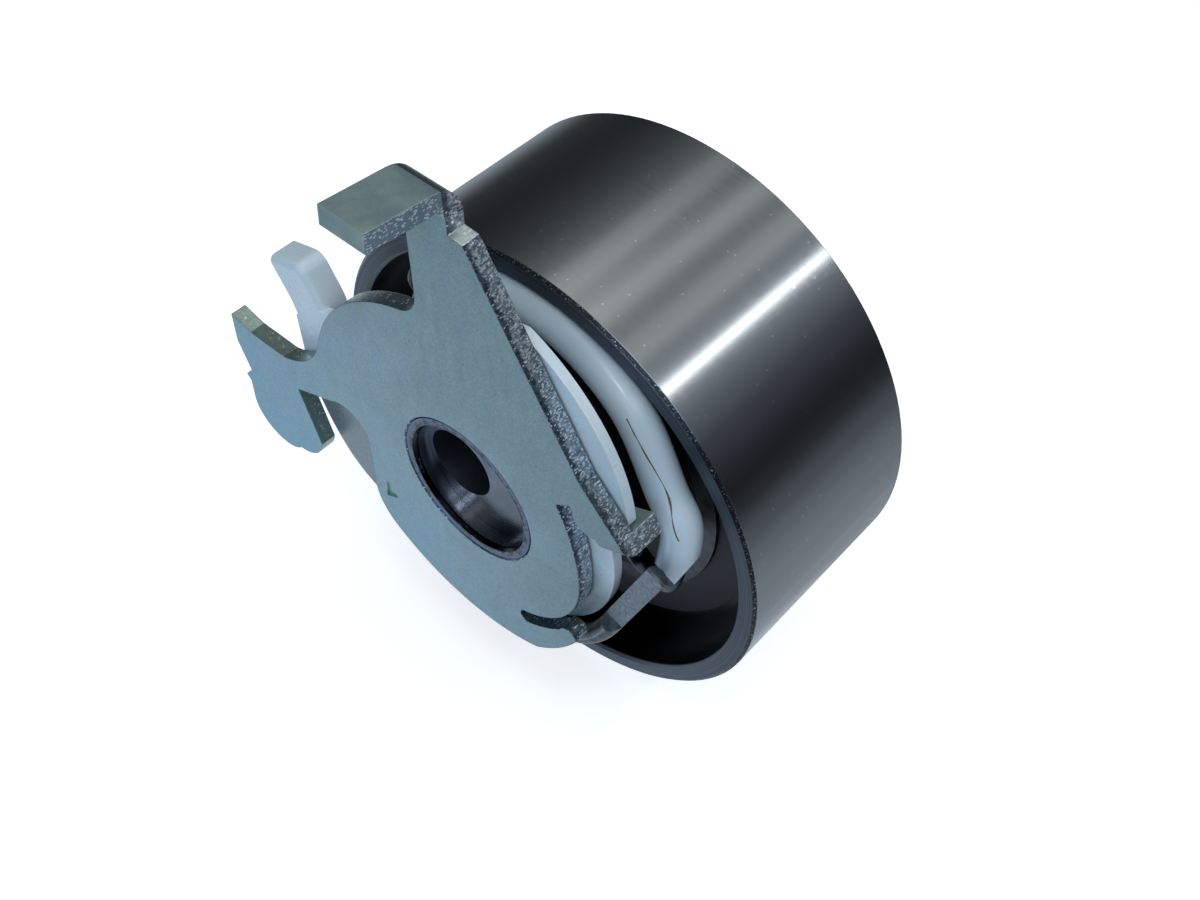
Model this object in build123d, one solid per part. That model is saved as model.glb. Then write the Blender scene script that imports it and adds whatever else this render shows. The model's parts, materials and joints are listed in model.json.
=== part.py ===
# Timing belt tensioner with two eccentrics: a bolted adjusting eccentric, a sheet base plate
# held by a tab, a sprung eccentric arm and a steel roller on a sealed ball bearing.
# Millimetres. +Y runs along the bolt from the engine towards the front, +Z is up.
# The origin is on the bolt hole's axis, at the floor of the counterbore, where the hole begins.
import os
from math import atan2, cos, degrees, hypot, radians, sin

from build123d import *

os.makedirs("parts", exist_ok=True)

# Roller: the ground outer ring of the bearing, drawn out into a skirt on both sides.
roller_d = 60.0
roller_w = 26.0
skirt_wall = 2.4
roller_chamfer = 0.4
rim_gap = 10.2          # from the plate's engine face to the roller's rim

# Offsets of the three axes: bolt, hub and roller.
bolt_to_hub = 3.0       # along +X
hub_to_roller = 6.4     # along -Z

# Base plate, stamped from sheet.
sheet = 2.0
bend_inside = 1.4
tab_reach = 8.2         # from the engine face to the tab's end
tab_width = 5.4
tab_bend = 85           # degrees, so that the tab leans slightly upwards
bend_z = 36.8           # above the hub's axis, where the bend begins
lug_reach = 5.0         # of the stop lug, from the engine face
lug_bend = 1.8

# Hub, the adjusting eccentric.
bolt_hole_d = 8.4       # clearance for an M8 bolt
counterbore_d = 15.6
counterbore_depth = 2.2
collar_wall = 0.8       # swaged over the plate
collar_flare = 0.5
collar_wall_lip = 0.5
journal_shoulder = 0.65
head_d = 27.0
head_t = 2.8
key_size = 5.0          # hexagon across flats
key_depth = 6.0
key_offset = 5.2        # from the hub's axis

# Plain bush, thrust washer and eccentric arm.
bush_wall = 1.0
washer_t = 0.7
drum_d = 31.0
spigot_wall = 1.7       # around the bush, inside the pointer ring
seat_wall = 1.2         # around the bush, where the bearing's seat is thinnest

# Ball bearing.
bearing_w = 14.0
ball_d = 6.35
ball_count = 12
inner_ring_wall = 2.4
inner_rise = 2.2        # from the inner ring's land to the balls' circle
outer_rise = 2.3        # from the balls' circle to the roller's land
groove_play = 0.045     # between a ball and its groove
cage_wall = 1.2         # to each side of the balls' circle
cage_back = 2.0         # from the balls' centres to the cage's open side
cage_front = 4.4        # and to its closed side
pocket_play = 0.08
seal_t = 0.9
seal_inset = 0.5
seal_seat = 0.5         # depth of the groove that the seal snaps into
seal_seat_w = 0.9

# Pointer ring, moulded in white nylon.
ring_d = 36.5
ring_t = 1.1
ring_behind = 0.3       # behind the plate
tongue_t = 3.4
pointer_round = 0.8     # of the pointer's edges on the engine side

# Torsion spring and its sleeve.
wire_d = 2.4
sleeve_d = 4.2
sleeve_bore = 2.5

# Clearances.
run = 0.05              # radial, of a part that turns on another
slip = 0.05             # radial, of a part that is slid over another
side = 0.1              # axial, between parts that turn against each other

# Diameters that follow from the walls, from the bolt outwards.
collar_d = counterbore_d + 2 * collar_wall
journal_d = collar_d + 2 * journal_shoulder
bush_in = journal_d / 2 + run
bush_out = bush_in + bush_wall
spigot_d = 2 * (bush_out + spigot_wall)
arm_d = 2 * (bush_out + seat_wall + hub_to_roller)
inner_land_d = arm_d + 2 * inner_ring_wall
pitch_d = inner_land_d + 2 * inner_rise
outer_land_d = pitch_d + 2 * outer_rise

# Places along the axis, counted from the origin.
y_face = -counterbore_depth
y_back = y_face + sheet
y_ring = y_back + ring_behind
y_rim = y_face + rim_gap
y_end = y_rim + roller_w
y_mid = y_rim + roller_w / 2
y_bearing = y_mid - bearing_w / 2
y_head = y_end - 0.2
hub = Location((bolt_to_hub, 0, 0))
roll = Location((bolt_to_hub, 0, -hub_to_roller))


def turned(profile):
    """A solid of revolution about the Y axis from (radius, y) points."""
    return revolve(make_face(Polyline(*profile, close=True)), Axis.Y)


def slab(sketch, y_from, y_to):
    """A flat piece from y_from to y_to. The sketch has x across and z up."""
    return extrude(Plane.XZ.offset(-y_from) * sketch, amount=y_from - y_to)


def polar(radius, angle):
    """A point of a sketch at a radius and an angle in degrees from +X towards +Z."""
    return (radius * cos(radians(angle)), radius * sin(radians(angle)))


def outline(start, *steps):
    """A closed sketch that starts at a point. A step is the next corner, or an arc's middle
    and end."""
    edges, here = [], start
    for step in steps:
        if isinstance(step[0], tuple):
            edges.append(ThreePointArc(here, step[0], step[1]))
            here = step[1]
        else:
            edges.append(Line(here, step))
            here = step
    if here != start:
        edges.append(Line(here, start))
    return make_face(Wire(edges))


# Base plate. The outline is given from the hub's axis: the neck under the tab, the straight
# right edge down to the finger, the slot, the round body, the tongue and the fish tail.
tab_left = -3.8
tab_right = tab_left + tab_width
body_r = 22.55
lug_root = (20.8, 9.3), (17.8, 7.8)
plate = outline(
    (tab_left, bend_z),
    (tab_right, bend_z),
    (tab_right, 35.3),
    (3.3, 35.2),
    (15.9, 14.5),
    *lug_root,
    ((15.9, 7.7), (15.0, 9.8)),
    (14.6, 10.1),
    (12.8, 8.8),
    ((14.9, 3.3), (15.6, -2.5)),
    ((13.3, -10.0), (7.2, -15.0)),
    ((6.8, -16.0), (7.6, -16.9)),
    ((10.1, -15.4), (12.7, -13.1)),
    ((14.2, -12.2), (15.0, -13.2)),
    ((12.2, -17.4), (9.0, -20.6)),
    ((-3.0, -22.3), (-13.0, -18.1)),
    ((-15.0, -15.9), (-15.9, -12.8)),
    (-15.7, -5.6),
    ((-17.3, -2.0), (-21.3, -2.2)),
    (-27.8, -4.9),
    (-25.6, -13.1),
    ((-26.4, -15.0), (-30.4, -17.4)),
    ((-35.6, -18.4), (-38.2, -14.4)),
    (-38.0, -10.8),
    (-38.6, -10.0),
    (-37.2, -8.5),
    (-38.5, -4.2),
    (-38.2, 0.2),
    (-35.0, -0.6),
    (-29.1, -0.5),
    ((-24.5, 2.1), polar(body_r, 163)),
    (polar(body_r, 135), polar(body_r, 107.5)),
    ((-4.7, 22.9), (-3.9, 25.2)),
)
plate_body = slab(plate, y_face, y_back)
tab_axis = y_face - bend_inside
bend_outside = bend_inside + sheet


def bend(radius, angle):
    """A point of the tab's bend, in the plane across the plate."""
    y, z = polar(radius, angle)
    return (tab_axis + y, bend_z + z)


tab_end_y = y_face - tab_reach
tab_rise = (bend(bend_outside, tab_bend)[0] - tab_end_y) * cos(radians(tab_bend)) / sin(radians(tab_bend))
tab_end_z = bend(bend_outside, tab_bend)[1] + tab_rise
across = polar(sheet, tab_bend)
tab_section = outline(
    bend(bend_outside, 0),
    (bend(bend_outside, tab_bend / 2), bend(bend_outside, tab_bend)),
    (tab_end_y, tab_end_z),
    (tab_end_y - across[0], tab_end_z - across[1]),
    bend(bend_inside, tab_bend),
    (bend(bend_inside, tab_bend / 2), bend(bend_inside, 0)),
)
tab = extrude(Plane.YZ.offset(tab_left) * tab_section, amount=tab_width)

# The lug is bent towards the roller at the end of the finger. It reaches a little into the
# finger so that both are one piece.
(lug_x, lug_z), (finger_x, finger_z) = lug_root
lug_sunk = 0.3
lug = Box(hypot(lug_x - finger_x, lug_z - finger_z), lug_reach, sheet + lug_sunk,
          align=(Align.MAX, Align.MIN, Align.MAX))
lug = fillet(lug.edges().filter_by(Axis.X).group_by(Axis.Y)[0].sort_by(Axis.Z)[0], lug_bend)
lug_turn = degrees(atan2(lug_z - finger_z, lug_x - finger_x))
lug = Location((lug_x, y_face, lug_z), (0, -lug_turn, 0)) * Pos(0, 0, lug_sunk) * lug
hub_hole = turned([
    (0, y_face), (collar_d / 2 + slip + collar_flare, y_face),
    (collar_d / 2 + slip, y_face + collar_flare), (collar_d / 2 + slip, y_back), (0, y_back),
])
# A small triangular dent from the stamping tool, at the lower left edge of the body.
dent_depth = 0.4
dent = slab(outline((-13.7, -9.9), (-12.2, -11.8), (-14.2, -12.9)), y_face - 1, y_face + dent_depth)
base_plate = hub * (plate_body + tab + lug - hub_hole - dent)

# Hub: a turned pin with a head at the front. Its thin end is swaged over the plate, and the
# bolt hole lies off its axis.
hub_profile = [
    (0, 0), (counterbore_d / 2, 0), (counterbore_d / 2, y_face + collar_flare),
    (counterbore_d / 2 + collar_wall_lip / 2, y_face + side),
    (collar_d / 2 + collar_flare - side - slip, y_face + side),
    (collar_d / 2, y_face + collar_flare - slip), (collar_d / 2, y_back + side),
    (journal_d / 2, y_back + side), (journal_d / 2, y_head - head_t),
    (head_d / 2, y_head - head_t), (head_d / 2, y_head), (0, y_head),
]
bolt_hole = Pos(-bolt_to_hub, 0, 0) * slab(Circle(bolt_hole_d / 2), -1, y_end)
key_hole = Pos(key_offset, 0, 0) * slab(
    RegularPolygon(key_size / 2, 6, major_radius=False), y_head - key_depth, y_head
)
hub_sleeve = hub * (turned(hub_profile) - bolt_hole - key_hole)

# Plain bush, pressed into the arm and running on the hub.
y_arm_front = y_head - head_t - washer_t - 2 * side
plain_bush = hub * slab(
    Circle(bush_out) - Circle(bush_in), y_ring + ring_t, y_arm_front - side
)
thrust_washer = hub * slab(
    Circle(head_d / 2) - Circle(bush_in), y_arm_front + side, y_head - head_t - side
)

# Eccentric arm: a drum inside the spring, the off-centre seat of the bearing and a front boss.
drum = slab(Circle(drum_d / 2), y_ring + ring_t, y_bearing)
spigot = slab(Circle(spigot_d / 2), y_ring + side, y_ring + ring_t)
seat = Pos(0, 0, -hub_to_roller) * slab(Circle(arm_d / 2), y_bearing, y_bearing + bearing_w)
boss = slab(Circle(head_d / 2), y_bearing + bearing_w, y_arm_front)
arm_bore = slab(Circle(bush_out), y_ring, y_end)
arm = drum + spigot + seat + boss - arm_bore

# Ball bearing in the middle of the roller. The inner ring sits on the arm, the outer ring is
# the roller itself.
half_w = bearing_w / 2
groove_r = ball_d / 2 + groove_play
race = Location((0, y_mid, 0)) * revolve(
    Plane.XY * Pos(pitch_d / 2, 0) * Circle(groove_r), Axis.Y
)
bearing_inner_ring = roll * (turned([
    (arm_d / 2, y_mid - half_w), (inner_land_d / 2, y_mid - half_w),
    (inner_land_d / 2, y_mid + half_w), (arm_d / 2, y_mid + half_w),
]) - race)

skirt_r = roller_d / 2 - skirt_wall
land_r = outer_land_d / 2
seal_from = half_w - seal_inset - seal_t / 2 - seal_seat_w / 2
seal_to = seal_from + seal_seat_w
c = roller_chamfer
half_roller = roller_w / 2
profile = [(land_r, 0)]
for a, b in [(land_r, seal_from), (land_r + seal_seat, seal_from), (land_r + seal_seat, seal_to),
             (land_r, seal_to), (land_r, half_w), (skirt_r, half_w), (skirt_r, half_roller - c),
             (skirt_r + c, half_roller), (roller_d / 2 - c, half_roller),
             (roller_d / 2, half_roller - c)]:
    profile.append((a, b))
mirrored = [(a, -b) for a, b in reversed(profile)]
roller = roll * (Pos(0, y_mid, 0) * turned(profile[1:] + mirrored[:-1]) - race)

# Balls, and the moulded crown cage that snaps over them from the front.
cage = slab(
    Circle(pitch_d / 2 + cage_wall) - Circle(pitch_d / 2 - cage_wall),
    y_mid - cage_back, y_mid + cage_front,
)
for n in range(ball_count):
    x, z = polar(pitch_d / 2, 360 / ball_count * (n + 0.5))
    ball = Pos(x, y_mid, z) * Sphere(ball_d / 2)
    export_step(roll * ball, f"parts/ball_{n + 1}.step")
    pocket = Plane(origin=(x, y_mid, z), z_dir=(x, 0, z)) * Circle(ball_d / 2 + pocket_play)
    cage -= extrude(pocket, amount=2 * cage_wall, both=True)
ball_cage = roll * cage

# Seals: discs that snap into the roller's grooves and run just clear of the inner ring.
def seal(towards):
    near = y_mid + towards * (seal_from + (seal_seat_w - seal_t) / 2)
    far = near + towards * seal_t
    low, high = min(near, far), max(near, far)
    return roll * turned([
        (inner_land_d / 2 + run, low), (land_r + seal_seat, low),
        (land_r + seal_seat, high), (inner_land_d / 2 + run, high),
    ])


seal_engine_side = seal(-1)
seal_front_side = seal(1)

# Pointer ring: a thin flange behind the plate that carries the thick pointer and, beside the
# lug, the wing that rests against it.
ring_r = ring_d / 2
wing_foot = 25.5
flange = outline(
    polar(ring_r, wing_foot),
    polar(22.0, wing_foot),
    ((16.3, 18.8), (7.3, 26.0)),
    ((3.0, 24.4), polar(ring_r, 97)),
    (polar(ring_r, 118), polar(ring_r, 138)),
    (-24.6, 8.0),
    (-28.2, 5.0),
    (-28.2, 0.0),
    (polar(28.2, 196), polar(27.8, 210)),
    ((-21.4, -16.6), (-17.6, -18.4)),
    ((-14.4, -18.2), polar(ring_r, 236)),
    (polar(ring_r, 310), polar(ring_r, wing_foot)),
)
pointer = make_face(FilletPolyline(
    (-28.2, 0.0), (-28.2, 5.6), (-31.85, 11.6), (-25.9, 13.3), (-22.75, 8.1), (-22.75, 0.0),
    radius=(0, 10, 1, 1.6, 8, 0), close=True,
))
pointer_solid = slab(pointer, y_ring, y_ring + tongue_t)
pointer_solid = fillet(pointer_solid.edges().group_by(Axis.Y)[0], pointer_round)
pointer_ring = hub * (
    slab(flange, y_ring, y_ring + ring_t) + pointer_solid - slab(Circle(spigot_d / 2), y_ring, y_end)
)

# Torsion spring: one open turn. Its flat-ground end shows under the lug, it passes behind the
# plate's tongue, sinks into the roller, climbs over the rim in its sleeve and hooks into the arm.
def station(radius, angle, behind_face):
    """A point of the spring's centre line, seen from the hub's axis."""
    x, z = polar(radius, angle)
    return Vector(x, y_face + behind_face, z)


def heading(angle, climb, outwards=0.0):
    """The spring's direction where it runs clockwise, seen from the engine."""
    a = radians(angle)
    return Vector(
        sin(a) + outwards * cos(a), climb, -cos(a) + outwards * sin(a)
    ).normalized()


tip = station(22.9, 7.3, 3.3)
leg_end = station(20.0, -26.7, 3.4)
leg = Line(tip, leg_end)
sleeve_start, sleeve_end = 105, -9
bare_turn = Spline(
    leg_end, station(21.0, -42, 3.4), station(22.2, -60, 3.6), station(22.0, -90, 4.6),
    station(21.0, -128, 5.8), station(19.9, -180, 7.3), station(19.2, -225, 8.9),
    station(18.9, -255, 10.0),
    tangents=[(leg_end - tip).normalized(), heading(sleeve_start, 0.14)],
)
covered_turn = Spline(
    station(18.9, 105, 10.0), station(18.85, 88, 10.6), station(19.0, 75, 10.6),
    station(19.5, 60, 10.2), station(20.2, 45, 9.6), station(20.8, 20, 8.7),
    station(21.3, sleeve_end, 8.1),
    tangents=[heading(sleeve_start, 0.14), heading(sleeve_end, 0.0)],
)
hook_angle = -42
hook_y = 12.2           # behind the engine face
hook_outer = station(drum_d / 2 + 1.5, hook_angle, hook_y)
hook_inner = station(drum_d / 2 - 2.8, hook_angle, hook_y)
inwards = (hook_inner - hook_outer).normalized()
hook_turn = Spline(
    station(21.3, sleeve_end, 8.1), station(20.9, -19, 8.9), station(19.6, -31, 10.7), hook_outer,
    tangents=[heading(sleeve_end, 0.0), inwards],
)
hook = Line(hook_outer, hook_inner)


def along(path, section):
    """A section swept along a path from the path's start."""
    return sweep(Plane(origin=path @ 0, z_dir=path % 0) * section, path=path)


# The wire's free end is ground flat on the side that faces the engine, and cut off obliquely.
ground_length = 13.5
ground_height = 0.35    # of the flat above the wire's axis
ground_run_out = 1.6
end_thickness = 0.4     # of the square edge that the cut leaves
end_slant = 1.3         # along the wire
ground_plane = Plane(origin=tip, x_dir=leg % 0, z_dir=(leg % 0).cross(Vector(0, -1, 0)))
ground = ground_plane * outline(
    (-1, ground_height), (ground_length, ground_height),
    (ground_length + ground_run_out, wire_d / 2), (ground_length + ground_run_out, wire_d),
    (-1, wire_d),
)
slant = ground_plane * outline(
    (-1, ground_height), (0, ground_height), (0, ground_height - end_thickness),
    (end_slant, -wire_d), (-1, -wire_d),
)
wire = along(Wire([leg, bare_turn, covered_turn, hook_turn, hook]), Circle(wire_d / 2))
torsion_spring = hub * (wire - extrude(ground, amount=wire_d, both=True)
                        - extrude(slant, amount=wire_d, both=True))

# The sleeve's free end is cut to a point with two straight snips.
snips = Plane(
    origin=(22.4, y_face + 6.6, -2.35), x_dir=(0.81, 0.59, 0), z_dir=(0.34, -0.465, 0.817)
) * outline((0, 0), (5.2, 6.8), (5.2, -8), (-5.2, -8), (-5.2, 4.8))
sleeve = along(covered_turn, Circle(sleeve_d / 2) - Circle(sleeve_bore / 2))
spring_sleeve = hub * (sleeve - extrude(snips, amount=9, both=True))
hook_hole = extrude(Plane(origin=hook_outer, z_dir=inwards) * Circle(wire_d / 2 + slip), amount=8)
eccentric_arm = hub * (arm - hook_hole)

for name, solid in {
    "base_plate": base_plate,
    "hub_sleeve": hub_sleeve,
    "plain_bush": plain_bush,
    "thrust_washer": thrust_washer,
    "eccentric_arm": eccentric_arm,
    "pointer_ring": pointer_ring,
    "torsion_spring": torsion_spring,
    "spring_sleeve": spring_sleeve,
    "bearing_inner_ring": bearing_inner_ring,
    "ball_cage": ball_cage,
    "seal_engine_side": seal_engine_side,
    "seal_front_side": seal_front_side,
    "roller": roller,
}.items():
    export_step(solid, f"parts/{name}.step")
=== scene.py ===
# Timing belt tensioner, seen from the engine side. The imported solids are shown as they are, in
# metres and on their own bodies. The sections from the base plate on give them their materials.
import json
from math import pi

import bpy
from mathutils import Matrix, Vector


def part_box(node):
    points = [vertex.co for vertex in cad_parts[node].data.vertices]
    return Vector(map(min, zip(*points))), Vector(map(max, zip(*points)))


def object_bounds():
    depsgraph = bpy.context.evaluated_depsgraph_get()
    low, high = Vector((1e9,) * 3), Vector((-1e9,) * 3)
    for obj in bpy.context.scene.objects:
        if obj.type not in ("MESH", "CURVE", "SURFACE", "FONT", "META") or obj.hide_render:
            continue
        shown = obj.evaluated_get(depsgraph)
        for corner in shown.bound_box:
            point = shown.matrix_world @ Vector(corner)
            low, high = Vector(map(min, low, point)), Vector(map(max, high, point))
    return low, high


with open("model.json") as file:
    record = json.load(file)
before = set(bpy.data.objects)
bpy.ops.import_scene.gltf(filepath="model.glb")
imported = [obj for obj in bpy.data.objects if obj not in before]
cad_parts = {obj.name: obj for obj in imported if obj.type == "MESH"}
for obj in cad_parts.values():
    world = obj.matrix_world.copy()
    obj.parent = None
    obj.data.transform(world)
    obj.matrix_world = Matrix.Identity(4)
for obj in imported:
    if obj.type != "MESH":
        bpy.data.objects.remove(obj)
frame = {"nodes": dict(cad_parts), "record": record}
cad_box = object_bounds()

# ---- Camera ----
# The place that the photograph was taken from, found from the roller's two rims and the plate:
# a short lens close to the part, looking down on the plate from the upper right.
MM = 0.001
eye = Vector((70.26, -56.87, 109.71)) * MM
looks_along = Vector((-0.42532, 0.47595, -0.76979))
picture_right = Vector((0.74566, 0.66633, 0))
picture_up = picture_right.cross(looks_along)
lens = bpy.data.cameras.new("camera")
lens.sensor_width = 36
lens.lens = 40.67
lens.clip_start = 10 * MM
camera = bpy.data.objects.new("camera", lens)
turn = Matrix((picture_right, picture_up, -looks_along)).transposed().to_4x4()
camera.matrix_world = Matrix.Translation(eye) @ turn
bpy.context.collection.objects.link(camera)
bpy.context.scene.camera = camera


# ---- Floor ----
# A sheet of white paper at the height of the part's lowest point, with only the part's own soft
# shadow on it.
def srgb(code):
    """A colour written as sRGB hex, such as "C0CCD0", turned to linear."""
    channels = [int(code[i:i + 2], 16) / 255 for i in (0, 2, 4)]
    linear = [c / 12.92 if c < 0.04045 else ((c + 0.055) / 1.055) ** 2.4 for c in channels]
    return (*linear, 1.0)


def add(material, kind, *values, **named):
    """Adds one node. Names in small letters are its settings, the others its sockets, and values
    without a name fill its sockets in order. A value is a number, a vector, an sRGB code, an
    output, or a node, which stands for the first output that it has in use."""
    tree = material.node_tree
    made = tree.nodes.new("ShaderNode" + kind)
    for name, value in named.items():
        if name == "stops":
            ramp = made.color_ramp
            while len(ramp.elements) < len(value):
                ramp.elements.new(0.5)
            for element, (place, tone) in zip(ramp.elements, value):
                element.position = place
                element.color = srgb(tone) if isinstance(tone, str) else (tone, tone, tone, 1)
        elif name.islower():
            setattr(made, name, value)
    in_use = [socket for socket in made.inputs if socket.enabled]
    by_name = {socket.name: socket for socket in in_use}
    given = list(zip(in_use, values))
    given += [(by_name[name.replace("_", " ")], value) for name, value in named.items()
              if not name.islower()]
    for socket, value in given:
        if isinstance(value, bpy.types.Node):
            value = next(output for output in value.outputs if output.enabled)
        if isinstance(value, bpy.types.NodeSocket):
            tree.links.new(value, socket)
        else:
            socket.default_value = srgb(value) if isinstance(value, str) else value
    return made


def new_material(name):
    """An empty node material."""
    material = bpy.data.materials.new(name)
    material.use_nodes = True
    material.node_tree.nodes.clear()
    return material


paper_glow = 0.68
brightest = Vector((-60, -20, 0)) * MM
# How bright the paper looks in a mirror, by the distance in millimetres from its brightest place:
# painted light that fades with distance.
fade_reach = 420
fades = ((0, 1.0), (52, 1.0), (86, 0.46), (130, 0.40), (168, 0.29), (222, 0.18), (420, 0.05))
# Round the place where the roller rests it is painted brighter again in a mirror, a painted pool
# of light.
roller_foot = Vector((12, 22, 0)) * MM
foot_inner, foot_outer, foot_gain = 15 * MM, 27 * MM, 0.45


def white_paper():
    """Uncoated white paper, as bright as white where the lens looks at it. Shiny surfaces see it
    painted to fade with distance and tinted blue, painted light in place of the room's light."""
    material = new_material("white_paper")
    path = add(material, "LightPath")
    place = add(material, "TexCoord").outputs["Object"]
    away = add(material, "VectorMath", place, brightest, operation="DISTANCE")
    away = add(material, "Math", away, fade_reach * MM, operation="DIVIDE")
    fading = add(material, "ValToRGB", away,
                 stops=[(far / fade_reach, tone) for far, tone in fades])
    from_foot = add(material, "VectorMath", place, roller_foot, operation="DISTANCE")
    foot = add(material, "MapRange", from_foot, From_Min=foot_inner, From_Max=foot_outer,
               To_Min=foot_gain, To_Max=0.0)
    fading = add(material, "Math", fading, foot, operation="ADD")
    mirrored = add(material, "Math", path.outputs["Is Glossy Ray"],
                   path.outputs["Is Transmission Ray"], operation="MAXIMUM")
    share = add(material, "Mix", mirrored, 1.0, fading, data_type="FLOAT")
    seen = add(material, "Math", path.outputs["Is Camera Ray"], mirrored, operation="MAXIMUM")
    strength = add(material, "Math", seen, share, operation="MULTIPLY")
    bright = add(material, "Math", strength, paper_glow, operation="MULTIPLY")
    white = add(material, "Mix", share, "202022", "E6E7E8", data_type="RGBA")
    paper = add(material, "BsdfDiffuse", Color=white)
    tint = add(material, "Mix", mirrored, "FFFFFF", "D6E6F6", data_type="RGBA")
    glow = add(material, "Emission", Color=tint, Strength=bright)
    add(material, "OutputMaterial", add(material, "AddShader", paper, glow))
    return material


floor_mesh = bpy.data.meshes.new("floor")
reach = 1600 * MM
floor_mesh.from_pydata([(x, y, 0) for x, y in ((-reach, -reach), (reach, -reach), (reach, reach),
                                               (-reach, reach))], [], [(0, 1, 2, 3)])
floor = bpy.data.objects.new("floor", floor_mesh)
floor.location.z = cad_box[0][2]
bpy.context.collection.objects.link(floor)
floor.data.materials.append(white_paper())


# ---- Light ----
# A room with a pale ceiling and dark walls, a soft window above, another on the engine's side, the
# camera's own flash and a lamp tube along the roller. The roller shows them as bands: the tube is
# its thin bright line. The flash lights up corners and torn edges.
def lamp(name, place, target, width, height, power, tint="FFFFFF"):
    """A soft rectangular lamp that faces a point. Places and sizes are in millimetres, and its
    power is in watts."""
    light = bpy.data.lights.new(name, "AREA")
    light.shape, light.size, light.size_y = "RECTANGLE", width * MM, height * MM
    light.energy, light.color = power, srgb(tint)[:3]
    holder = bpy.data.objects.new(name, light)
    holder.location = Vector(place) * MM
    holder.rotation_euler = (Vector(target) - Vector(place)).to_track_quat("-Z", "Y").to_euler()
    bpy.context.collection.objects.link(holder)


middle = (3, 16, -2)
lamp("window_overhead", (-60, 60, 520), middle, width=420, height=520, power=0.5)
lamp("window_engine_side", (40, -540, 260), middle, width=640, height=460, power=1.1, tint="B4DBFF")
flash_above_lens = 36 * MM
flash = (eye + picture_up * flash_above_lens) / MM
lamp("flash", flash, middle, width=26, height=16, power=0.02, tint="F4F8FF")
tube = (225, 150, 277)
roller_line = (3, tube[1], -6)
lamp("lamp_tube", tube, roller_line, width=600, height=20, power=0.23)

# The room's tone by the angle round the roller's axis, from +X over +Z to -X.
room_tones = ((-180, "4A4D50"), (-150, "5C6062"), (-30, "44474A"), (-8, "2A2C2F"), (4, "303035"),
              (15, "484952"), (26, "5E636A"), (38, "9097A2"), (57, "B4BCC6"), (63, "A3A9AF"),
              (69, "D2D6D4"), (75, "C6CAC9"), (81, "8E9292"), (84, "A0A4A3"), (90, "D8DBD8"),
              (96, "B8BBBA"), (101, "5C6161"), (105, "6E7373"), (110, "9CA1A0"), (115, "9EA3A3"),
              (119, "6F7475"), (128, "6B7072"), (139, "54595C"), (150, "404346"), (172, "34363A"),
              (180, "4A4D50"))
world = bpy.data.worlds.new("room")
bpy.context.scene.world = world
world.use_nodes = True
towards = add(world, "SeparateXYZ", add(world, "TexCoord").outputs["Generated"])
angle = add(world, "Math", towards.outputs["Z"], towards.outputs["X"], operation="ARCTAN2")
around = add(world, "MapRange", angle, From_Min=-pi, From_Max=pi)
room = add(world, "ValToRGB", around,
           stops=[((turned + 180) / 360, tone) for turned, tone in room_tones])
# Past the paper's edge the lens sees white. Metal goes on mirroring the room, as in the photograph.
seen_by_lens = add(world, "LightPath").outputs["Is Camera Ray"]
behind = add(world, "Mix", seen_by_lens, room, "FFFFFF", data_type="RGBA")
backdrop = world.node_tree.nodes["Background"]
world.node_tree.links.new(behind.outputs[2], backdrop.inputs["Color"])
bpy.context.scene.view_settings.view_transform = "Standard"


# ---- Base plate ----
# Steel sheet 2 mm thick, stamped in one stroke and bent twice, then zinc-plated blue-white. The
# tab locates it on the engine, the lug is the arm's stop, and the hub is swaged into its hole.
def dress(name, material):
    """Gives one of the CAD solids its finish."""
    frame["nodes"][name].material_slots[0].material = material


def distance_from(material, place, axis):
    """How far a place is from a line along Y."""
    level = add(material, "VectorMath", place, (1, 0, 1), operation="MULTIPLY")
    return add(material, "VectorMath", level, (axis[0], 0, axis[2]), operation="DISTANCE")


def faces(material, facing, direction, least):
    """1 where a surface faces a direction or its opposite. The least is the cosine of the widest
    angle off it."""
    straight = add(material, "VectorMath", facing, direction, operation="DOT_PRODUCT")
    straight = add(material, "Math", straight, operation="ABSOLUTE")
    return add(material, "Math", straight, least, operation="GREATER_THAN")


mounts = {mount["name"]: mount for mount in frame["record"]["mounts"]}
plate_face = mounts["engine_face"]["pos_m"][1]
sheet = 2.0 * MM
tab_begins = -0.15 * MM
lug_begins = sheet + 0.2 * MM
lug_normal = (-0.447, 0, 0.894)
tail_root = -21 * MM
dent_middle, dent_reach, dent_depth = Vector((-10.4, 0, -11.5)) * MM, 1.6 * MM, 0.03 * MM
step_middle, step_reach = Vector((5.4, 0, 35.3)) * MM, 1.7 * MM
burnished, torn_from, tear_wanders = 1.0 * MM, 1.35 * MM, 1.2 * MM


def in_dent(material, place, depth):
    """1 on the walls and floor of the small triangular dent at the plate's lower left."""
    away = distance_from(material, place, dent_middle)
    near = add(material, "Math", away, dent_reach, operation="LESS_THAN")
    deep = add(material, "Math", depth, dent_depth, operation="GREATER_THAN")
    return add(material, "Math", near, deep, operation="MULTIPLY")


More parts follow.
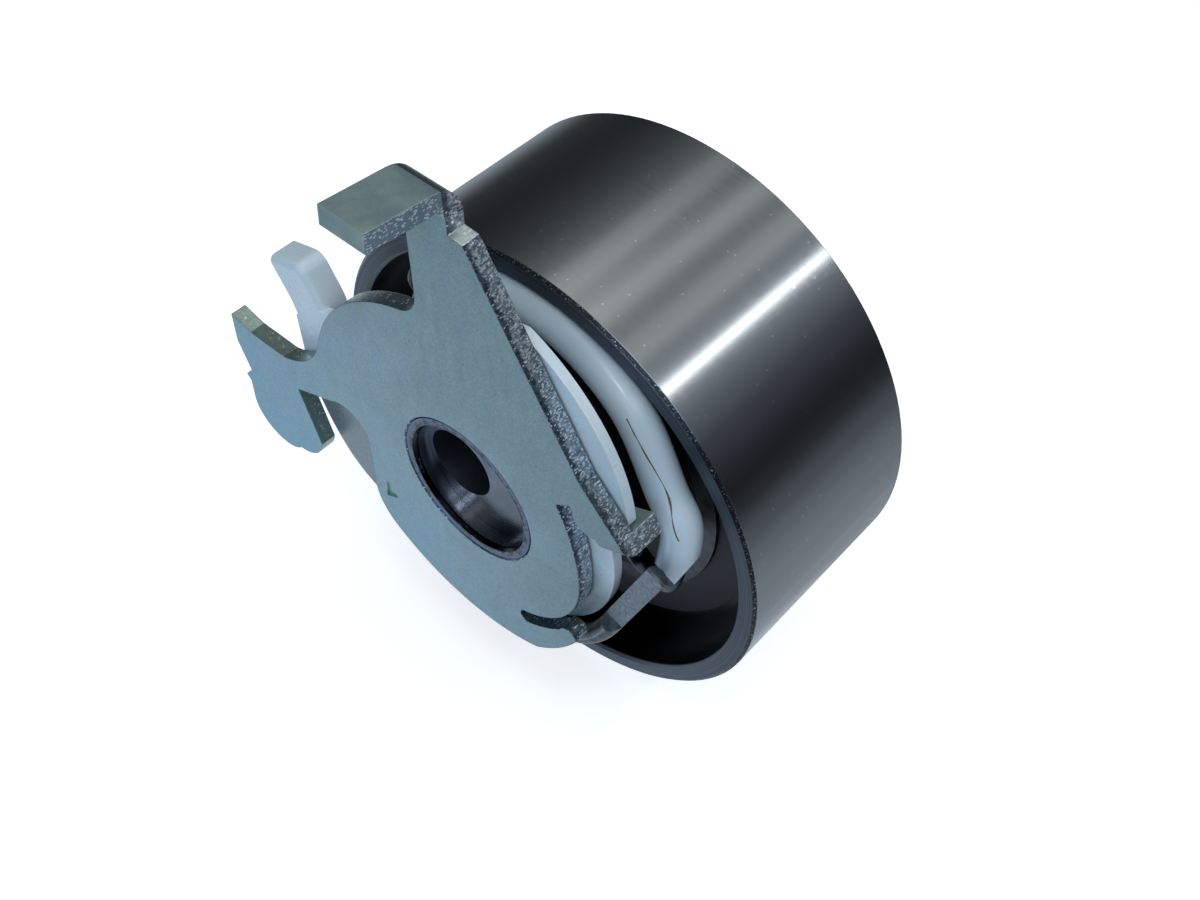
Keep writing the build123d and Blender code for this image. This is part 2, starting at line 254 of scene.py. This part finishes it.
def zinc_plated_sheet():
    """Blue-white zinc on stamped steel: matt and fine-grained, with dark rubs. On its cut sides a
    burnished band lies under the face and the rest is torn into bright grains that glitter,
    partly from their tilt and partly from painted glints."""
    material = new_material("zinc_plated_sheet")
    coordinates = add(material, "TexCoord")
    place, facing = coordinates.outputs["Object"], coordinates.outputs["Normal"]
    split = add(material, "SeparateXYZ", place)
    depth = add(material, "Math", split.outputs["Y"], plate_face, operation="SUBTRACT")
    # The tab stands out from the face towards the engine, and the lug behind the sheet.
    in_tab = add(material, "Math", depth, tab_begins, operation="LESS_THAN")
    tab_side = add(material, "Math", in_tab, faces(material, facing, (1, 0, 0), 0.5),
                   operation="MULTIPLY")
    on_tab = add(material, "Math", in_tab, tab_side, operation="SUBTRACT")
    in_lug = add(material, "Math", depth, lug_begins, operation="GREATER_THAN")
    on_lug = add(material, "Math", in_lug, faces(material, facing, lug_normal, 0.8),
                 operation="MULTIPLY")
    bent = add(material, "Math", on_tab, on_lug, operation="MAXIMUM")
    rolled = add(material, "Math", faces(material, facing, (0, 1, 0), 0.75), bent,
                 operation="MAXIMUM")

    # Edges are rounded by 0.15 mm. Where that turns the surface by over 14 degrees is an edge.
    rounded = add(material, "Bevel", Radius=0.15 * MM, samples=8)
    true_normal = add(material, "NewGeometry").outputs["Normal"]
    alike = add(material, "VectorMath", rounded, true_normal, operation="DOT_PRODUCT")
    edge = add(material, "Math", alike, 0.97, operation="LESS_THAN")

    # Rolled faces: zinc grains drawn 0.2 mm across, coarser than real ones so that they show,
    # faint clouds of 9 mm, bluer towards the lower left, dark rubs of 0.9 mm, and specks of 0.15
    # to 0.3 mm about 2.4 mm apart.
    cloud = add(material, "TexNoise", Vector=place, Scale=0.11 / MM, Detail=5.0, Roughness=0.6)
    lower_left = add(material, "VectorMath", place, (-10, 0, -10), operation="DOT_PRODUCT")
    drift = add(material, "Math", cloud, lower_left, operation="ADD")
    tone = add(material, "ValToRGB", drift,
               stops=[(0.3, "879DA2"), (0.62, "8FA7B0"), (0.95, "84A8B9")])
    grain = add(material, "TexNoise", Vector=place, Scale=5.2 / MM, Detail=3.0, Roughness=0.75)
    grained = add(material, "Mix", 0.75, tone, grain.outputs["Color"], data_type="RGBA",
                  blend_type="OVERLAY")
    stretched = add(material, "Mapping", Vector=place, Scale=(1.0, 1.0, 0.25), Rotation=(0, 0.6, 0))
    rub = add(material, "TexNoise", Vector=stretched, Scale=1.1 / MM, Detail=6.0, Roughness=0.8)
    rubbed = add(material, "ValToRGB", rub, stops=[(0.64, "FFFFFF"), (0.78, "767E84")])
    speck = add(material, "TexVoronoi", Vector=place, Scale=0.42 / MM)
    specked = add(material, "ValToRGB", speck, stops=[(0.03, "4A5056"), (0.07, "FFFFFF")])
    marks = add(material, "Mix", 1.0, rubbed, specked, data_type="RGBA", blend_type="MULTIPLY")
    marked = add(material, "Mix", 0.4, grained, marks, data_type="RGBA", blend_type="MULTIPLY")
    # The bent parts were handled more and are mottled. A thin line is painted along the faces'
    # edges:
    # painted shade on the flat sheet, painted highlight on the bent parts.
    handled = add(material, "ValToRGB", cloud,
                  stops=[(0.38, "758A90"), (0.5, "93A6A6"), (0.62, "B2BDB0")])
    bent_tone = add(material, "Mix", 0.4, handled, marked, data_type="RGBA")
    face = add(material, "Mix", bent, marked, bent_tone, data_type="RGBA")
    painted_edge_line = add(material, "Mix", bent, "3C4A54", "B9C6CA", data_type="RGBA")
    edge_share = add(material, "Math", edge, 0.55, operation="MULTIPLY")
    face = add(material, "Mix", edge_share, face, painted_edge_line, data_type="RGBA")

    # Cut sides: marks of 0.6 mm run across the sheet, and grains are drawn 0.12 mm across, coarser
    # than real ones so that they show. What faces up, within 40 to 50 degrees, and the tail's cut
    # sides were combed smooth, and they are painted greener, on the tail also lighter: a painted
    # highlight from the light above. The tab's sides are painted paler: painted light.
    combed = add(material, "Mapping", Vector=place, Scale=(1.0, 0.5, 1.0))
    clump = add(material, "TexNoise", Vector=combed, Scale=1.7 / MM, Detail=4.0, Roughness=0.7)
    crystal = add(material, "TexVoronoi", Vector=combed, Scale=8.5 / MM).outputs["Color"]
    wander = add(material, "Math", clump, tear_wanders, operation="MULTIPLY")
    ragged = add(material, "Math", depth, wander, operation="ADD")
    tear = add(material, "MapRange", ragged, From_Min=burnished, From_Max=torn_from)
    torn = add(material, "Math", tear, tab_side, operation="MAXIMUM")
    upward = add(material, "SeparateXYZ", facing).outputs["Z"]
    upward = add(material, "MapRange", upward, From_Min=0.62, From_Max=0.8)
    on_tail = add(material, "Math", split.outputs["X"], tail_root, operation="LESS_THAN")
    upward = add(material, "Math", upward, on_tail, operation="MAXIMUM")
    dark = add(material, "ValToRGB", clump, stops=[(0.35, "3A4454"), (0.65, "626E80")])
    pale = add(material, "ValToRGB", clump, stops=[(0.35, "66747F"), (0.65, "AEBEC9")])
    side_tone = add(material, "Mix", torn, dark, pale, data_type="RGBA")
    # The tab's sides are painted paler: painted light.
    side_tone = add(material, "Mix", tab_side, side_tone, "879EAC", data_type="RGBA")
    # Painted highlight: cut sides facing up are painted greener, on the tail also lighter.
    top_light_tone = add(material, "Mix", on_tail, "5C7072", "93A59A", data_type="RGBA")
    top_light_share = add(material, "Math", upward, 0.85, operation="MULTIPLY")
    side_tone = add(material, "Mix", top_light_share, side_tone, top_light_tone, data_type="RGBA")

    # Of the grains, one in twenty is painted near-white, a painted glint; more are where the side
    # is torn and along its edges, fewer where it was combed and on the tab.
    rarity = 0.95
    for where, change in ((torn, -0.19), (edge, -0.25), (upward, 0.2), (tab_side, 0.07)):
        here = add(material, "Math", where, change, operation="MULTIPLY")
        rarity = add(material, "Math", rarity, here, operation="ADD")
    chance = add(material, "SeparateXYZ", crystal).outputs["X"]
    painted_glint = add(material, "Math", chance, rarity, operation="GREATER_THAN")
    side_tone = add(material, "Mix", painted_glint, side_tone, "EEF5F8", data_type="RGBA")
    # The step beside the tab is painted near-white where it faces up, a painted highlight.
    from_step = distance_from(material, place, step_middle)
    on_step = add(material, "Math", from_step, step_reach, operation="LESS_THAN")
    painted_step_highlight = add(material, "Math", on_step, upward, operation="MULTIPLY")
    side_tone = add(material, "Mix", painted_step_highlight, side_tone, "DCE8E2", data_type="RGBA")
    colour = add(material, "Mix", rolled, side_tone, face, data_type="RGBA")
    # The dent is painted pale green: painted light that lifts it out of its own shade.
    colour = add(material, "Mix", in_dent(material, place, depth), colour, "A9CCC2",
                 data_type="RGBA")

    # Each grain of the cut sides is tilted by up to about 20 degrees.
    tilt = add(material, "VectorMath", crystal, (0.5, 0.5, 0.5), operation="SUBTRACT")
    calm = add(material, "Math", upward, tab_side, operation="MAXIMUM")
    calm = add(material, "Math", 0.75, calm, operation="MULTIPLY")
    smooth = add(material, "Math", rolled, calm, operation="MAXIMUM")
    amount = add(material, "Math", 1.0, smooth, operation="SUBTRACT")
    amount = add(material, "Math", amount, 0.5, operation="MULTIPLY")
    slant = add(material, "VectorMath", tilt, Scale=amount, operation="SCALE")
    slanted = add(material, "VectorMath", slant, rounded, operation="ADD")
    normal = add(material, "VectorMath", slanted, operation="NORMALIZE")
    relief = add(material, "Bump", Strength=0.3, Distance=0.04 * MM, Height=grain, Normal=normal)
    dull = add(material, "MapRange", rub, From_Min=0.3, From_Max=0.7, To_Min=0.48, To_Max=0.6)
    shine = add(material, "Mix", rolled, 0.26, dull, data_type="FLOAT")
    shader = add(material, "BsdfPrincipled", Base_Color=colour, Metallic=0.7, Roughness=shine,
                 Normal=relief)
    add(material, "OutputMaterial", shader)
    return material


dress("base_plate", zinc_plated_sheet())


# ---- Hub ----
# The adjusting eccentric: a turned steel pin with the bolt hole off its centre. Its thin end is
# swaged over the plate and its head at the front has the hexagon for the setting key.
hub_axis = Vector(frame["record"]["behaviour"]["joints"][0]["pos_m"])
counterbore_r = 7.8 * MM
bolt_hole_r = mounts["bolt_bore"]["dims"]["r_mm"] * MM
lip_height, lip_width, chips_wander = 0.7 * MM, 0.5 * MM, 4.0 * MM


def turned_hub_steel():
    """Free-cutting steel, turned and oiled: dark grey, with fine rings from the lathe tool. The
    swaged lip is bluish and chipped along its inner edge, the counterbore's wall shines, and the
    bolt hole is rough from the drill."""
    material = new_material("turned_hub_steel")
    place = add(material, "TexCoord").outputs["Object"]
    along_axis = add(material, "SeparateXYZ", place).outputs["Y"]
    radius = distance_from(material, place, hub_axis)
    # Rings 0.25 mm apart, coarser than the real feed of about 0.1 mm so that they show, and
    # faint clouds of 3 mm in the oil.
    rings = add(material, "TexNoise", W=radius, Scale=4.0 / MM, noise_dimensions="1D")
    cloud = add(material, "TexNoise", Vector=place, Scale=0.35 / MM, Detail=4.0)
    turned = add(material, "ValToRGB", cloud, stops=[(0.3, "3E444F"), (0.7, "59616E")])
    # The lip lies close to the plate's face. Chips of 0.8 mm eat into it from inside.
    depth = add(material, "Math", along_axis, plate_face, operation="SUBTRACT")
    chip = add(material, "TexNoise", Vector=place, Scale=1.3 / MM, Detail=5.0, Roughness=0.7)
    wander = add(material, "Math", chip, 0.5, operation="SUBTRACT")
    wander = add(material, "Math", wander, chips_wander, operation="MULTIPLY")
    ragged = add(material, "Math", radius, wander, operation="ADD")
    inside = add(material, "Math", ragged, counterbore_r + lip_width, operation="LESS_THAN")
    near_face = add(material, "Math", depth, lip_height, operation="LESS_THAN")
    lip = add(material, "Mix", near_face, turned, "3C5068", data_type="RGBA")
    # The counterbore's wall, from the lip down to just above the floor at y = 0, is paler.
    above_floor = add(material, "Math", along_axis, -0.02 * MM, operation="LESS_THAN")
    below_lip = add(material, "Math", above_floor, near_face, operation="SUBTRACT")
    at_wall = add(material, "Math", radius, counterbore_r, 0.1 * MM, operation="COMPARE")
    on_wall = add(material, "Math", below_lip, at_wall, operation="MULTIPLY")
    lip = add(material, "Mix", on_wall, lip, "BCC4D0", data_type="RGBA")
    chipped = add(material, "Math", near_face, inside, operation="MULTIPLY")
    worn = add(material, "Mix", chipped, lip, "14131A", data_type="RGBA")
    from_bolt = distance_from(material, place, (0, 0, 0))
    in_hole = add(material, "Math", from_bolt, bolt_hole_r + 0.02 * MM, operation="LESS_THAN")
    colour = add(material, "Mix", in_hole, worn, "50545E", data_type="RGBA")
    shine = add(material, "MapRange", cloud, From_Min=0.3, From_Max=0.7, To_Min=0.17, To_Max=0.28)
    shine = add(material, "Mix", in_hole, shine, 0.6, data_type="FLOAT")
    # The corner between the counterbore's wall and floor is sharp; the other edges are rounded
    # by 0.12 mm.
    near_floor = add(material, "Math", along_axis, 0.0, 0.5 * MM, operation="COMPARE")
    round_r = add(material, "Math", 1.0, near_floor, operation="SUBTRACT")
    round_r = add(material, "Math", round_r, 0.12 * MM, operation="MULTIPLY")
    rounded = add(material, "Bevel", Radius=round_r, samples=6)
    relief = add(material, "Bump", Strength=0.25, Distance=0.03 * MM, Height=rings, Normal=rounded)
    shader = add(material, "BsdfPrincipled", Base_Color=colour, Metallic=1.0, Roughness=shine,
                 Normal=relief)
    add(material, "OutputMaterial", shader)
    return material


dress("hub_sleeve", turned_hub_steel())


# ---- Plain bush and thrust washer ----
# The arm turns on the hub in a thin sintered bronze bush, pressed into the arm. A moulded washer
# keeps the arm off the hub's head.
def sintered_bronze():
    """Oil-filled sintered bronze: brown, slightly speckled with open pores. They are drawn 0.3 mm
    apart, coarser than real ones so that they show."""
    material = new_material("sintered_bronze")
    place = add(material, "TexCoord").outputs["Object"]
    pores = add(material, "TexVoronoi", Vector=place, Scale=3.5 / MM)
    colour = add(material, "ValToRGB", pores, stops=[(0.05, "5A4326"), (0.3, "A07E4C")])
    shader = add(material, "BsdfPrincipled", Base_Color=colour, Metallic=1.0, Roughness=0.42)
    add(material, "OutputMaterial", shader)
    return material


def moulded_nylon(name, shade, tint, grain_mm, roughness, mark_or_shade=None, mark_or_shade_colour="6A5C4A"):
    """Moulded polyamide: an even, slightly translucent colour with clouds of 8 mm and a faint
    eroded grain, which is coarser than the real one so that it shows. Where a given mask is 1,
    it takes a given colour: the sleeve's dark slit, and painted shade on the pointer ring."""
    material = new_material(name)
    place = add(material, "TexCoord").outputs["Object"]
    cloud = add(material, "TexNoise", Vector=place, Scale=0.12 / MM, Detail=2.0)
    grain = add(material, "TexNoise", Vector=place, Scale=1 / (grain_mm * MM), Detail=3.0)
    colour = add(material, "ValToRGB", cloud, stops=[(0.3, shade), (0.7, tint)])
    if mark_or_shade is not None:
        colour = add(material, "Mix", mark_or_shade(material, place), colour, mark_or_shade_colour, data_type="RGBA")
    shine = add(material, "MapRange", grain, To_Min=roughness - 0.06, To_Max=roughness + 0.08)
    relief = add(material, "Bump", Strength=0.15, Distance=0.04 * MM, Height=grain)
    shader = add(material, "BsdfPrincipled", Base_Color=colour, Roughness=shine, IOR=1.53,
                 Subsurface_Weight=0.12, Subsurface_Radius=(0.9 * MM, 1.1 * MM, 1.3 * MM),
                 Normal=relief)
    add(material, "OutputMaterial", shader)
    return material


dress("plain_bush", sintered_bronze())
dress("thrust_washer", moulded_nylon("washer_nylon", "C9C4B4", "D8D4C6", grain_mm=0.3,
                                     roughness=0.45))


# ---- Eccentric arm ----
# A die-cast drum inside the spring, with the bearing's seat off its centre. It lies in the
# roller's shade and looks almost black.
def dark_casting():
    """Pressure die-cast alloy, dull, with clouds of 4 mm, and painted near-black: partly its dark
    passivation, partly painted shade from the roller. Its grains are drawn 0.45 mm across,
    coarser than real ones so that they show."""
    material = new_material("dark_casting")
    place = add(material, "TexCoord").outputs["Object"]
    cloud = add(material, "TexNoise", Vector=place, Scale=0.26 / MM, Detail=4.0)
    grain = add(material, "TexNoise", Vector=place, Scale=2.2 / MM, Detail=3.0)
    # Painted near-black: partly dark passivation, partly painted shade from the roller.
    colour = add(material, "ValToRGB", cloud, stops=[(0.3, "241F1D"), (0.7, "3D3632")])
    shine = add(material, "MapRange", grain, To_Min=0.45, To_Max=0.65)
    relief = add(material, "Bump", Strength=0.3, Distance=0.05 * MM, Height=grain)
    shader = add(material, "BsdfPrincipled", Base_Color=colour, Metallic=0.8, Roughness=shine,
                 Normal=relief)
    add(material, "OutputMaterial", shader)
    return material


dress("eccentric_arm", dark_casting())


# ---- Pointer ring ----
# White nylon moulding pressed on the arm behind the plate. Its thick pointer is read against the
# plate's fish tail, and its wing rests on the lug.
# Painted shade: the ring is painted darker grey towards the bottom.
shade_low, shade_high, most_shade = -6 * MM, 0 * MM, 0.92


def shaded_below(material, place):
    """Grows towards 1 down the ring, where it is painted grey: painted shade."""
    height = add(material, "SeparateXYZ", place).outputs["Z"]
    return add(material, "MapRange", height, From_Min=shade_high, From_Max=shade_low,
               To_Max=most_shade)


dress("pointer_ring", moulded_nylon("white_nylon", "CBDDE6", "DCE9F0", grain_mm=0.25,
                                    roughness=0.28, mark_or_shade=shaded_below, mark_or_shade_colour="5C6E76"))


# ---- Torsion spring ----
# One open turn of hard-drawn wire, dark from oil tempering. The end below the lug is ground flat
# and shows bright steel.
def tempered_wire():
    """Oil-tempered spring wire: dark grey and smooth, with clouds of 1 mm. The ground flat looks
    straight at the engine and is bright, with marks drawn 0.4 mm wide so that they show."""
    material = new_material("tempered_wire")
    coordinates = add(material, "TexCoord")
    place = coordinates.outputs["Object"]
    cloud = add(material, "TexNoise", Vector=place, Scale=0.9 / MM, Detail=3.0)
    tempered = add(material, "ValToRGB", cloud, stops=[(0.3, "3A3E42"), (0.7, "646A70")])
    towards_front = add(material, "SeparateXYZ", coordinates.outputs["Normal"]).outputs["Y"]
    flat = add(material, "Math", towards_front, -0.995, operation="LESS_THAN")
    grinding = add(material, "TexNoise", Vector=place, Scale=2.5 / MM, Detail=2.0)
    bright = add(material, "ValToRGB", grinding, stops=[(0.3, "5C666E"), (0.7, "8E99A3")])
    colour = add(material, "Mix", flat, tempered, bright, data_type="RGBA")
    shine = add(material, "MapRange", grinding, To_Min=0.3, To_Max=0.5)
    shader = add(material, "BsdfPrincipled", Base_Color=colour, Metallic=1.0, Roughness=shine)
    add(material, "OutputMaterial", shader)
    return material


dress("torsion_spring", tempered_wire())


# ---- Spring sleeve ----
# White plastic tube with a slit, pushed over the turn that passes the roller's rim so that the
# spring can't rub on it. Its end is snipped to a point.
slit_centre = Vector((-14.9, 0, -17.8)) * MM
slit_r, slit_bends, slit_width = 46.6 * MM, 0.12 * MM, 0.2 * MM
slit_top, slit_end, slit_back = 15.6 * MM, 5.2 * MM, 7.0 * MM


def slit(material, place):
    """1 along the sleeve's slit, a closed cut on the side towards the engine. It follows a wide
    arc about a line along Y and wavers every 2 or 3 mm."""
    split = add(material, "SeparateXYZ", place)
    along_axis, height = split.outputs["Y"], split.outputs["Z"]
    waver = add(material, "TexNoise", Vector=place, Scale=0.42 / MM, Detail=3.0)
    bend = add(material, "Math", waver, 0.5, operation="SUBTRACT")
    bend = add(material, "Math", bend, slit_bends, operation="MULTIPLY")
    bow = add(material, "Math", distance_from(material, place, slit_centre), bend, operation="ADD")
    off = add(material, "Math", bow, slit_r, operation="SUBTRACT")
    off = add(material, "Math", off, operation="ABSOLUTE")
    width = add(material, "Math", waver, 0.25, operation="SUBTRACT")
    width = add(material, "Math", width, slit_width, operation="MULTIPLY")
    line = add(material, "Math", off, width, operation="LESS_THAN")
    for here in (add(material, "Math", along_axis, slit_back, operation="LESS_THAN"),
                 add(material, "Math", height, slit_top, operation="LESS_THAN"),
                 add(material, "Math", height, slit_end, operation="GREATER_THAN")):
        line = add(material, "Math", line, here, operation="MULTIPLY")
    return line


dress("spring_sleeve", moulded_nylon("sleeve_nylon", "BCD0DD", "CBDCE7", grain_mm=0.4,
                                     roughness=0.22, mark_or_shade=slit))


# ---- Ball bearing ----
# Inner ring on the arm's seat, balls of chromium steel in a moulded crown cage, and a rubber seal
# on each side. The outer ring is the roller itself.
def ground_bearing_steel(name, shade, tint, roughness):
    """Hardened bearing steel, ground and honed: even and shiny, with a haze of 1.4 mm."""
    material = new_material(name)
    place = add(material, "TexCoord").outputs["Object"]
    haze = add(material, "TexNoise", Vector=place, Scale=0.7 / MM, Detail=2.0)
    colour = add(material, "ValToRGB", haze, stops=[(0.3, shade), (0.7, tint)])
    shine = add(material, "MapRange", haze, To_Min=roughness, To_Max=roughness + 0.1)
    shader = add(material, "BsdfPrincipled", Base_Color=colour, Metallic=1.0, Roughness=shine)
    add(material, "OutputMaterial", shader)
    return material


def seal_rubber():
    """Nitrile rubber moulded over a steel disc: black and dull, with dust in patches of 0.7 mm."""
    material = new_material("seal_rubber")
    place = add(material, "TexCoord").outputs["Object"]
    dust = add(material, "TexNoise", Vector=place, Scale=1.5 / MM, Detail=4.0)
    colour = add(material, "ValToRGB", dust, stops=[(0.35, "15161B"), (0.75, "27282E")])
    shine = add(material, "MapRange", dust, To_Min=0.45, To_Max=0.7)
    shader = add(material, "BsdfPrincipled", Base_Color=colour, Roughness=shine, IOR=1.52)
    add(material, "OutputMaterial", shader)
    return material


# The inner ring is painted dark grey: partly oil on it, partly painted shade deep in the roller.
inner_ring_steel = ground_bearing_steel("inner_ring_steel", "3C3E42", "55575C", roughness=0.3)
dress("bearing_inner_ring", inner_ring_steel)
ball_steel = ground_bearing_steel("ball_steel", "B4B8BC", "C2C6C9", roughness=0.06)
for number in range(1, 13):
    dress(f"ball_{number}", ball_steel)
dress("ball_cage", moulded_nylon("cage_nylon", "A89D7E", "BDB294", grain_mm=0.4, roughness=0.5))
rubber = seal_rubber()
for side in ("engine", "front"):
    dress(f"seal_{side}_side", rubber)


# ---- Roller ----
# Turned and ground from bearing steel in one piece with the bearing's outer ring. The belt runs on
# its plain outer face, and the skirts hide the bearing.
roller_axis = Vector(frame["record"]["behaviour"]["joints"][2]["pos_m"])
roller_low, roller_high = (Vector(corner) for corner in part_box("roller"))
roller_r = (roller_high.x - roller_low.x) / 2
roller_middle = (roller_low.y + roller_high.y) / 2
half_width = (roller_high.y - roller_low.y) / 2
skirt_wall, nicked_band = 2.4 * MM, 0.36 * MM


def ground_roller_steel():
    """Ground steel: the grinding marks run round the roller, so light spreads along its axis into
    straight streaks. The skirts' rims are turned, with nicks along their edges, some painted
    near-white as painted glints. The bore is painted near-black: painted shade, with oil on it."""
    material = new_material("ground_roller_steel")
    place = add(material, "TexCoord").outputs["Object"]
    along_axis = add(material, "SeparateXYZ", place).outputs["Y"]
    radius = distance_from(material, place, roller_axis)
    # Streaks 4 mm wide along the roller, and round it grinding marks 0.17 mm wide, coarser than
    # real ones so that they show.
    stretched = add(material, "Mapping", Vector=place, Scale=(1.0, 0.02, 1.0))
    streaks = add(material, "TexNoise", Vector=stretched, Scale=0.26 / MM, Detail=2.0)
    squeezed = add(material, "Mapping", Vector=place, Scale=(0.03, 1.0, 0.03))
    marks = add(material, "TexNoise", Vector=squeezed, Scale=6.0 / MM, Detail=3.0)
    ground = add(material, "ValToRGB", streaks, stops=[(0.3, "979C9E"), (0.7, "A2A6A7")])
    # Specks of dust and pits, 0.1 to 0.3 mm across and about 1.4 mm apart.
    pit = add(material, "TexVoronoi", Vector=place, Scale=0.7 / MM)
    pitted = add(material, "ValToRGB", pit, stops=[(0.05, "D8DDE0"), (0.1, "000000")])
    face = add(material, "Mix", 0.25, ground, pitted, data_type="RGBA", blend_type="ADD")
    # Inside the skirts: painted near-black, painted shade deep in the roller, with oil and soot.
    bore_r = roller_r - skirt_wall + 0.06 * MM
    bore = add(material, "Math", radius, bore_r, operation="LESS_THAN")
    oil_and_painted_shade = add(material, "Mix", bore, face, "141419", data_type="RGBA")
    # Rims: darker, turned in rings of 0.2 mm, and nicked along both edges by 0.2 mm. At the outer
    # edge the nicks are dark, and the brightest are painted near-white, painted glints.
    from_middle = add(material, "Math", along_axis, roller_middle, operation="SUBTRACT")
    from_middle = add(material, "Math", from_middle, operation="ABSOLUTE")
    rim = add(material, "Math", from_middle, half_width - nicked_band, operation="GREATER_THAN")
    in_bore = add(material, "Math", rim, bore, operation="MULTIPLY")
    on_rim = add(material, "Math", rim, in_bore, operation="SUBTRACT")
    turned = add(material, "TexNoise", W=radius, Scale=5.0 / MM, noise_dimensions="1D")
    rim_tone = add(material, "ValToRGB", turned, stops=[(0.3, "4E565F"), (0.7, "646C76")])
    nick = add(material, "TexNoise", Vector=place, Scale=5.2 / MM, Detail=3.0, Roughness=0.7)
    # Painted glints: the brightest nicks along the edge are painted near-white.
    edge = add(material, "ValToRGB", nick,
               stops=[(0.5, "363A40"), (0.6, "4C5158"), (0.67, "E2E8EB")])
    at_edge = add(material, "Math", radius, roller_r - nicked_band, operation="GREATER_THAN")
    rim_colour = add(material, "Mix", at_edge, rim_tone, edge, data_type="RGBA")
    colour = add(material, "Mix", on_rim, oil_and_painted_shade, rim_colour, data_type="RGBA")
    shine = add(material, "MapRange", marks, To_Min=0.16, To_Max=0.28)
    rough = add(material, "Mix", on_rim, shine, 0.42, data_type="FLOAT")
    relief = add(material, "Bump", Strength=0.08, Distance=0.02 * MM, Height=marks)
    rough_edge = add(material, "Bump", Strength=0.5, Distance=0.08 * MM, Height=nick, Normal=relief)
    edge_only = add(material, "Math", on_rim, at_edge, operation="MULTIPLY")
    normal = add(material, "Mix", edge_only, relief, rough_edge, data_type="VECTOR")
    round_axis = add(material, "Tangent", direction_type="RADIAL", axis="Y")
    shader = add(material, "BsdfPrincipled", Base_Color=colour, Metallic=1.0, Roughness=rough,
                 Anisotropic=0.85, Anisotropic_Rotation=0.25, Normal=normal, Tangent=round_axis)
    add(material, "OutputMaterial", shader)
    return material


dress("roller", ground_roller_steel())
